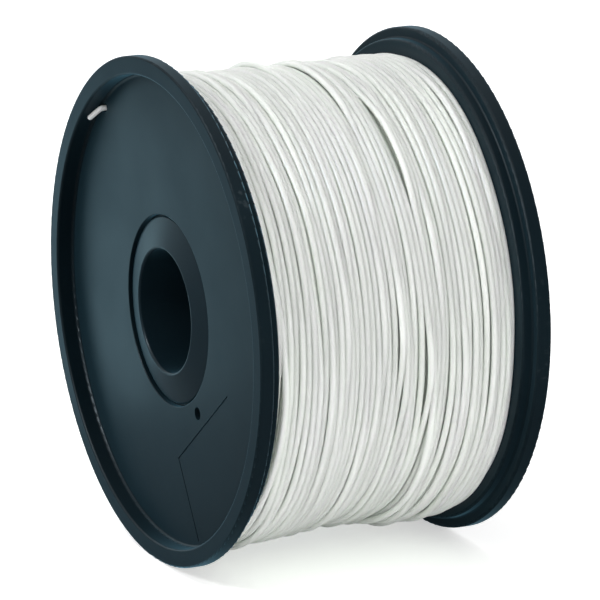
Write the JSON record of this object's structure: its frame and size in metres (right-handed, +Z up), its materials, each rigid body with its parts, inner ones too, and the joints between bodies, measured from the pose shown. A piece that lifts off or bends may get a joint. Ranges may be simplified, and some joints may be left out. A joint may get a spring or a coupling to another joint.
{
  "type": "filament spool",
  "caption": "Full filament spool: recessed black flanges with raised rims on a ribbed drum, flared hub collars, and wound white filament with its tail tucked through the rim.",
  "frame": {"origin": "on the bore's axis, half-way between the two flanges' outer faces", "axes": "+Y along the bore's axis, from the flange with the filament's tail to the other flange; +Z up when the spool stands on its rims"},
  "size_m": [0.165, 0.101, 0.165],
  "materials": {
    "flange_plastic": "satin moulded, dark slate black",
    "hub_plastic": "satin moulded, dark slate black",
    "drum_plastic": "matt moulded, black",
    "filament": "satin extruded strand, natural white"
  },
  "bodies": {
    "root": {"near_flange": "flange_plastic", "far_flange": "flange_plastic", "winding_drum": "drum_plastic", "near_hub_sleeve": "hub_plastic", "far_hub_sleeve": "hub_plastic", "filament_winding": "filament", "filament_free_end": "filament", "filament_start_end": "filament"}
  },
  "joints": []
}
